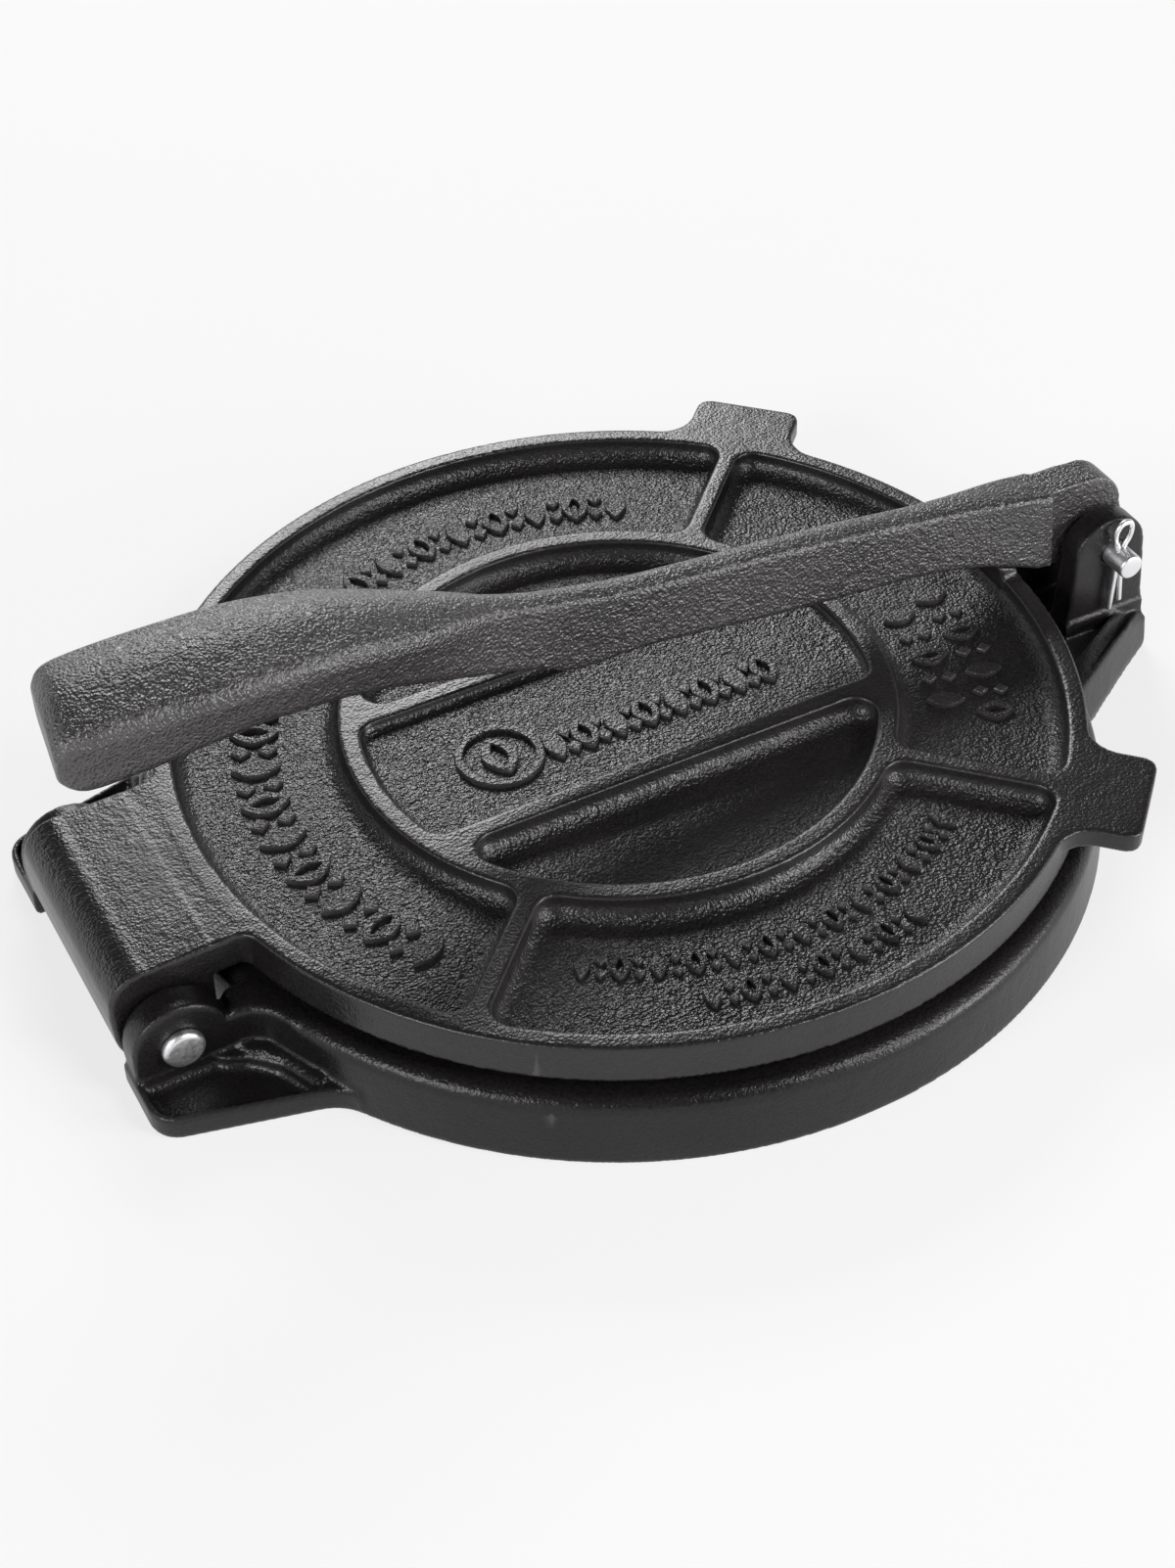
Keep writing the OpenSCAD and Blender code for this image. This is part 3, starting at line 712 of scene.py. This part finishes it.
# %% The lever's hub
HUB_HALF, NOSE, NOSE_R, HUB_R, HUB_BORE = 4.5, (127.4, 38.9), 10.0, 8.6, 3.6
hub_side = ([(113, 49.3), (122, 49.2)] + arc(NOSE[0], NOSE[1], NOSE_R, 84, 2, 16)
            + arc(LEVER_X, LEVER_Z, HUB_R, 20, -112, 16)
            + [(117, 27.4), (108, 31.2), (108, 49.0)])
hub = traced("hub", hub_side, (-HUB_HALF, HUB_HALF), "XZ")
round_off(hub, 1.1, lambda ends: (at_side(HUB_HALF)(ends) or at_side(-HUB_HALF)(ends))
          and min(p.x for p in ends) > 112.9, segments=3)
combine(hub, bar_across("drill", LEVER_X, LEVER_Z, HUB_BORE, (-20, 20)), "DIFFERENCE")
lever = gathered("press_lever", [handle, hub])
recast(lever, 0.5, 3)
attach(lever, "lever")
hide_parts("lever")

# %% [markdown]
# Both pins are turned steel: a shank with a domed head at one end and a bevelled tail at the other,
# drilled across for its split pin. A split pin is one wire bent double. Its path is drawn as a curve
# down one leg, round the eye and down the other, and the curve is given thickness.

# %% Pins
PIN_R, HEAD_R, HEAD_T = 3.2, 4.8, 2.2
HINGE_TAIL, LEVER_TAIL = 43.0, 19.7


def pin(name, x, z, face, tail, side):
    """A pin whose head lies on side (+1 or -1) of the press, against an ear's face."""
    shank = bar_across(name, x, z, PIN_R, sorted((side * face, -side * tail)))
    round_off(shank, 0.7, at_side(-side * tail), segments=3)
    head = bar_across("head", x, z, HEAD_R, sorted((side * face, side * (face + HEAD_T))))
    round_off(head, 1.3, at_side(side * (face + HEAD_T)), segments=6)
    round_off(head, 0.4, at_side(side * face), segments=2)
    combine(shank, head, "UNION")
    take(shank)
    bpy.ops.object.shade_smooth_by_angle(angle=math.radians(35))
    return shank


hinge_pin = pin("steel_hinge_pin", HINGE_X, HINGE_Z, EAR_OUT, HINGE_TAIL, -1)
lever_pin = pin("steel_lever_pin", LEVER_X, LEVER_Z, CLEVIS_OUT, LEVER_TAIL, 1)
print("two pins of", 2 * PIN_R, "mm")

# %% Split pins
WIRE_R = 0.75


def split_pin(name, path):
    """One bent wire through points given in millimetres."""
    fresh_start()
    bpy.ops.curve.primitive_nurbs_path_add(radius=1, location=(0, 0, 0))
    obj = settled(name)
    obj.data.splines.clear()
    wire = obj.data.splines.new("NURBS")
    wire.points.add(len(path) - 1)
    for point, p in zip(wire.points, path):
        point.co = (p[0] * MM, p[1] * MM, p[2] * MM, 1)
    wire.order_u = 3
    wire.use_endpoint_u = True
    obj.data.dimensions = "3D"
    obj.data.resolution_u = 6
    obj.data.bevel_depth = WIRE_R * MM
    obj.data.bevel_resolution = 4
    obj.data.use_fill_caps = True
    bpy.ops.object.convert(target="MESH")
    bpy.ops.object.shade_smooth()
    return bpy.context.active_object


def wire_path(sink, long, short):
    """Side view of the wire, across and up, with the pin's middle at nought. The eye sits lower by
    sink, and the two legs end at long and short below the middle."""
    leg = WIRE_R * 0.98
    left = [(-leg - 0.5, -long), (-leg - 0.2, -0.6 * long), (-leg, -4), (-leg, 0), (-leg, 3.4 - sink)]
    eye = [(-2.0, 5.2), (-2.2, 7.4), (-1.2, 9.8), (0.5, 10.4), (2.1, 9.9), (2.6, 7.6), (2.0, 5.2)]
    right = [(leg, 3.4 - sink), (leg, 0), (leg, -4), (leg + 0.3, -0.6 * short), (leg + 0.8, -short)]
    return left + [(x, z - sink) for x, z in eye] + right


LEVER_COTTER_Y, HINGE_COTTER_Y = -14.6, 37.9
lever_cotter = split_pin("steel_lever_cotter", [
    (LEVER_X + a, LEVER_COTTER_Y, LEVER_Z + b) for a, b in wire_path(0, 15.5, 13.5)])
hinge_cotter = split_pin("steel_hinge_cotter", [
    (HINGE_X - b, HINGE_COTTER_Y, HINGE_Z + a) for a, b in wire_path(2.2, 10.6, 9.6)])
for piece, cad_node in ((hinge_pin, "hinge_pin"), (lever_pin, "lever_pin"),
                        (hinge_cotter, "hinge_cotter"), (lever_cotter, "lever_cotter")):
    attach(piece, "base")
    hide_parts(cad_node)
print("four steel pieces ride on the base")

# %% [markdown]
# Colours are written as the hex values a paint chart would give and turned to linear light here. One
# small function adds a shader node, sets its values and makes its links.

# %% Colour and node helpers
def linear(code):
    channels = [int(code[i:i + 2], 16) / 255 for i in (1, 3, 5)]
    return [c / 12.92 if c <= 0.04045 else ((c + 0.055) / 1.055) ** 2.4 for c in channels] + [1.0]


def add(tree, kind, inputs=None, **settings):
    """Adds a node. An input given as a socket is linked, and any other value is set."""
    new = tree.nodes.new(kind)
    for key, value in settings.items():
        setattr(new, key, value)
    for key, value in (inputs or {}).items():
        if isinstance(value, bpy.types.NodeSocket):
            tree.links.new(value, new.inputs[key])
        else:
            new.inputs[key].default_value = value
    return new


def empty_material(name):
    material = bpy.data.materials.new(name)
    material.use_nodes = True
    material.node_tree.nodes.clear()
    return material, material.node_tree


def wear(piece, material):
    piece.data.materials.clear()
    piece.data.materials.append(material)


# %% [markdown]
# Seasoned cast iron: grey iron poured in green sand, shot clean and baked with oil until it is black.
# The sand leaves an even grain of about a millimetre and the oil a thin satin skin over it. The skin
# is what the light meets, so the shader is a black non-metal with a soft sheen, and the grain is
# relief: rounded bumps of two sizes, and slow waves where the mould gave a little. The patterns of the
# lid and the base were smoothed where they slide past each other and where a hand rubs, so their
# upright walls and the base as a whole carry less grain than the lever.

# %% Black seasoned cast iron
GRAIN_MM = 0.7
# The light grey of the painted highlight mixed onto sharp corners
EDGE_HIGHLIGHT_GREY = "#a8a4a2"


def seasoned_iron(name, dark, light, grain, walls, tops, gloss, sheen, edges, upper):
    """dark and light are the two ends of the patchy colour and grain is the height of the bumps in
    millimetres. Walls and tops are the shares of it left on upright walls and on worn upper faces.
    Gloss is the roughness of the oil skin and sheen its specular level. Edges is the strength of a
    painted highlight on sharp corners, and upper the share of colour left on level faces by a painted
    shade."""
    material, tree = empty_material(name)
    place = add(tree, "ShaderNodeTexCoord").outputs["Object"]
    facing = add(tree, "ShaderNodeSeparateXYZ", {
        "Vector": add(tree, "ShaderNodeNewGeometry").outputs["True Normal"]})
    level = add(tree, "ShaderNodeMath", {0: facing.outputs["Z"]}, operation="ABSOLUTE")
    upright = add(tree, "ShaderNodeMapRange", {
        "Value": level.outputs[0], "From Min": 0.3, "From Max": 0.85, "To Min": walls, "To Max": 1.0})
    height = add(tree, "ShaderNodeSeparateXYZ", {"Vector": place})
    worn = add(tree, "ShaderNodeMapRange", {
        "Value": height.outputs["Z"], "From Min": 26.9 * MM, "From Max": 28.9 * MM,
        "To Min": 1.0, "To Max": tops})
    share = add(tree, "ShaderNodeMath", {
        0: upright.outputs["Result"], 1: worn.outputs["Result"]}, operation="MULTIPLY")
    bumps = add(tree, "ShaderNodeTexNoise", {
        "Vector": place, "Scale": 1000 / GRAIN_MM, "Detail": 1.0, "Roughness": 0.5})
    pits = add(tree, "ShaderNodeTexNoise", {
        "Vector": place, "Scale": 1000 / (GRAIN_MM * 3.5), "Detail": 1.0})
    waves = add(tree, "ShaderNodeTexNoise", {"Vector": place, "Scale": 70.0, "Detail": 2.0})
    slow = add(tree, "ShaderNodeBump", {
        "Height": waves.outputs["Fac"], "Strength": 0.6, "Distance": 0.5 * MM})
    coarse = add(tree, "ShaderNodeBump", {
        "Height": pits.outputs["Fac"], "Strength": share.outputs[0],
        "Distance": grain * 0.7 * MM, "Normal": slow.outputs["Normal"]})
    fine = add(tree, "ShaderNodeBump", {
        "Height": bumps.outputs["Fac"], "Strength": share.outputs[0], "Distance": grain * MM,
        "Normal": coarse.outputs["Normal"]})
    patches = add(tree, "ShaderNodeTexNoise", {"Vector": place, "Scale": 24.0, "Detail": 3.0})
    colour = add(tree, "ShaderNodeValToRGB", {"Fac": patches.outputs["Fac"]})
    colour.color_ramp.elements[0].position = 0.35
    colour.color_ramp.elements[0].color = linear(dark)
    colour.color_ramp.elements[1].position = 0.7
    colour.color_ramp.elements[1].color = linear(light)
    # Painted shade: the colour is darkened in the low parts of the fine grain, where shade would fall
    hollow = add(tree, "ShaderNodeMapRange", {
        "Value": bumps.outputs["Fac"], "From Min": 0.35, "From Max": 0.55,
        "To Min": 0.6, "To Max": 1.0})
    shade = add(tree, "ShaderNodeMix", {
        "Factor": 1.0, "A": colour.outputs["Color"], "B": hollow.outputs["Result"]},
        data_type="RGBA", blend_type="MULTIPLY")
    # Painted shade: faces that look straight up are darkened by upper, so the tops read darker than the
    # walls
    level_face_shade = add(tree, "ShaderNodeMapRange", {
        "Value": level.outputs[0], "From Min": 0.86, "From Max": 0.97, "To Min": 1.0, "To Max": upper})
    painted_top_shade = add(tree, "ShaderNodeMix", {
        "Factor": 1.0, "A": shade.outputs["Result"], "B": level_face_shade.outputs["Result"]},
        data_type="RGBA", blend_type="MULTIPLY")
    # Painted highlight: sharp corners, found by pointiness, are mixed towards a light grey by edges
    corner = add(tree, "ShaderNodeMapRange", {
        "Value": add(tree, "ShaderNodeNewGeometry").outputs["Pointiness"],
        "From Min": 0.525, "From Max": 0.6, "To Min": 0.0, "To Max": edges})
    edge_highlighted = add(tree, "ShaderNodeMix", {
        "Factor": corner.outputs["Result"], "A": painted_top_shade.outputs["Result"], "B": linear(EDGE_HIGHLIGHT_GREY)},
        data_type="RGBA")
    oily = add(tree, "ShaderNodeMapRange", {
        "Value": patches.outputs["Fac"], "From Min": 0.3, "From Max": 0.7,
        "To Min": gloss - 0.03, "To Max": gloss + 0.05})
    skin = add(tree, "ShaderNodeBsdfPrincipled", {
        "Base Color": edge_highlighted.outputs["Result"], "Roughness": oily.outputs["Result"], "IOR": 1.5,
        "Specular IOR Level": sheen, "Normal": fine.outputs["Normal"]})
    add(tree, "ShaderNodeOutputMaterial", {"Surface": skin.outputs["BSDF"]})
    return material


# %% One iron for each casting
# The lever's seasoning is greyer; its sharp corners get a painted highlight and its level faces a
# painted shade
wear(lever, seasoned_iron(
    "seasoned_iron_lever", "#2b2829", "#3b3739", grain=0.5, walls=1.0, tops=1.0,
    gloss=0.36, sheen=1.0, edges=0.9, upper=0.6))
# The lid's rim and ribs are smoothed by hands and washing, and its hollows keep their grain
wear(lid, seasoned_iron(
    "seasoned_iron_lid", "#191718", "#252223", grain=0.42, walls=0.25, tops=0.35,
    gloss=0.29, sheen=0.5, edges=0.1, upper=1.0))
# The base is hardly touched: the blackest and evenest of the three
wear(base, seasoned_iron(
    "seasoned_iron_base", "#161415", "#201d1e", grain=0.16, walls=0.5, tops=1.0,
    gloss=0.32, sheen=0.35, edges=0.1, upper=1.0))
print("iron on", lever.name, lid.name, base.name)

# %% [markdown]
# Zinc-plated steel: the pins and split pins are cold-drawn wire with a thin bright plating. It is a
# true metal with a soft mirror, and it has faint drawing marks along the wire.

# %% Bright plated steel
material, tree = empty_material("bright_plated_steel")
place = add(tree, "ShaderNodeTexCoord").outputs["Object"]
marks = add(tree, "ShaderNodeTexNoise", {"Vector": place, "Scale": 900.0, "Detail": 3.0})
smudge = add(tree, "ShaderNodeMapRange", {
    "Value": marks.outputs["Fac"], "From Min": 0.3, "From Max": 0.7, "To Min": 0.34, "To Max": 0.48})
dent = add(tree, "ShaderNodeTexNoise", {"Vector": place, "Scale": 260.0, "Detail": 2.0})
bump = add(tree, "ShaderNodeBump", {
    "Height": dent.outputs["Fac"], "Strength": 1.0, "Distance": 0.1 * MM})
plating = add(tree, "ShaderNodeBsdfPrincipled", {
    "Base Color": linear("#e6e6e8"), "Metallic": 1.0, "Roughness": smudge.outputs["Result"],
    "Normal": bump.outputs["Normal"]})
add(tree, "ShaderNodeOutputMaterial", {"Surface": plating.outputs["BSDF"]})
for piece in (hinge_pin, lever_pin, hinge_cotter, lever_cotter):
    wear(piece, material)

# %% [markdown]
# The press stands on a white sweep, the usual sheet of a studio. To the camera, and in reflections, the
# sheet is part lit by the lamps and part white of its own, so it stays near white and still holds the
# soft shadow.

# %% Floor
OWN_WHITE = 0.72
fresh_start()
bpy.ops.mesh.primitive_plane_add(size=6, location=(0, 0, 0))
floor = settled("floor")
material, tree = empty_material("pale_floor")
ray = add(tree, "ShaderNodeLightPath")
mirrored = add(tree, "ShaderNodeMath", {
    0: ray.outputs["Is Glossy Ray"], 1: ray.outputs["Is Transmission Ray"]}, operation="MAXIMUM")
seen = add(tree, "ShaderNodeMath", {0: ray.outputs["Is Camera Ray"], 1: mirrored.outputs[0]},
           operation="MAXIMUM")
part = add(tree, "ShaderNodeMath", {0: seen.outputs[0], 1: OWN_WHITE}, operation="MULTIPLY")
matt = add(tree, "ShaderNodeBsdfDiffuse", {"Color": linear("#e8e8e8")})
white = add(tree, "ShaderNodeEmission", {"Color": linear("#ffffff"), "Strength": 1.0})
sheet = add(tree, "ShaderNodeMixShader", {
    0: part.outputs[0], 1: matt.outputs["BSDF"], 2: white.outputs["Emission"]})
add(tree, "ShaderNodeOutputMaterial", {"Surface": sheet.outputs["Shader"]})
wear(floor, material)

# %% [markdown]
# The photograph was taken from above and a little to the left of the press, with a long lens. The
# camera's place, aim, roll and lens were fitted to the round plates, in the scale taken for them. It
# is set up from three directions at right angles: a roll about its own axis is plainest that way.

# %% Camera
EYE = Vector((-0.21843, -0.41213, 0.43371))
AIM = Vector((-0.00514, 0.00647, 0.0))
ROLL = math.radians(-1.474)
LENS_MM, FILM_MM = 61.28, 36.0

back = (EYE - AIM).normalized()
level = Vector((-back.y, back.x, 0)).normalized()
upward = back.cross(level)
across = level * math.cos(ROLL) + upward * math.sin(ROLL)
over = back.cross(across)
lens = bpy.data.cameras.new("camera")
lens.lens = LENS_MM
lens.sensor_width = FILM_MM
lens.sensor_fit = "AUTO"
lens.clip_end = 20
camera = bpy.data.objects.new("camera", lens)
bpy.context.scene.collection.objects.link(camera)
camera.matrix_world = Matrix((
    (across.x, over.x, back.x, EYE.x), (across.y, over.y, back.y, EYE.y),
    (across.z, over.z, back.z, EYE.z), (0, 0, 0, 1)))
bpy.context.scene.camera = camera
print("camera:", LENS_MM, "mm lens,", round((EYE - AIM).length, 3), "m from its aim")

# %% [markdown]
# The studio: the sheet rises behind everything as a white wall, and above it the room is dim, so that
# the black iron has something dark to mirror. Four softboxes stand round the press and face it. The
# one behind draws the sheen on the upper faces, the two at the front right light the near walls and
# the side of the lever, and the one on the left lights the hinge end.

# %% World and lamps
world = bpy.data.worlds.new("studio")
bpy.context.scene.world = world
world.use_nodes = True
tree = world.node_tree
tree.nodes.clear()
towards = add(tree, "ShaderNodeSeparateXYZ", {
    "Vector": add(tree, "ShaderNodeTexCoord").outputs["Generated"]})
room = add(tree, "ShaderNodeValToRGB", {"Fac": towards.outputs["Z"]})
room.color_ramp.interpolation = "EASE"
room.color_ramp.elements[0].position = 0.15
room.color_ramp.elements[0].color = linear("#ffffff")
room.color_ramp.elements[1].position = 0.45
room.color_ramp.elements[1].color = linear("#404040")
glow = add(tree, "ShaderNodeBackground", {"Color": room.outputs["Color"], "Strength": 1.0})
add(tree, "ShaderNodeOutputWorld", {"Surface": glow.outputs["Background"]})


def from_angles(azimuth, elevation, distance):
    a, e = math.radians(azimuth), math.radians(elevation)
    return (distance * math.cos(e) * math.cos(a), distance * math.cos(e) * math.sin(a),
            distance * math.sin(e))


def softbox(name, azimuth, elevation, distance, width, height, watts):
    """A studio softbox: a flat lamp of a real size, turned to face the middle of the press."""
    place = Vector(from_angles(azimuth, elevation, distance))
    lamp = bpy.data.lights.new(name, "AREA")
    lamp.shape = "RECTANGLE"
    lamp.size, lamp.size_y, lamp.energy = width, height, watts
    obj = bpy.data.objects.new(name, lamp)
    obj.location = place
    obj.rotation_euler = (-place).to_track_quat("-Z", "Y").to_euler()
    bpy.context.scene.collection.objects.link(obj)


SOFTBOXES = (("back_box", 73, 33, 1.5, 0.65, 0.42, 12),
             ("front_right_box", -60, 43, 1.4, 0.4, 0.4, 7),
             ("low_right_box", -46, 14, 1.2, 0.5, 0.3, 8),
             ("left_box", 200, 30, 1.4, 0.6, 0.4, 9))
for lamp in SOFTBOXES:
    softbox(*lamp)
print(len(SOFTBOXES), "softboxes")
bpy.context.scene.view_settings.view_transform = "Standard"
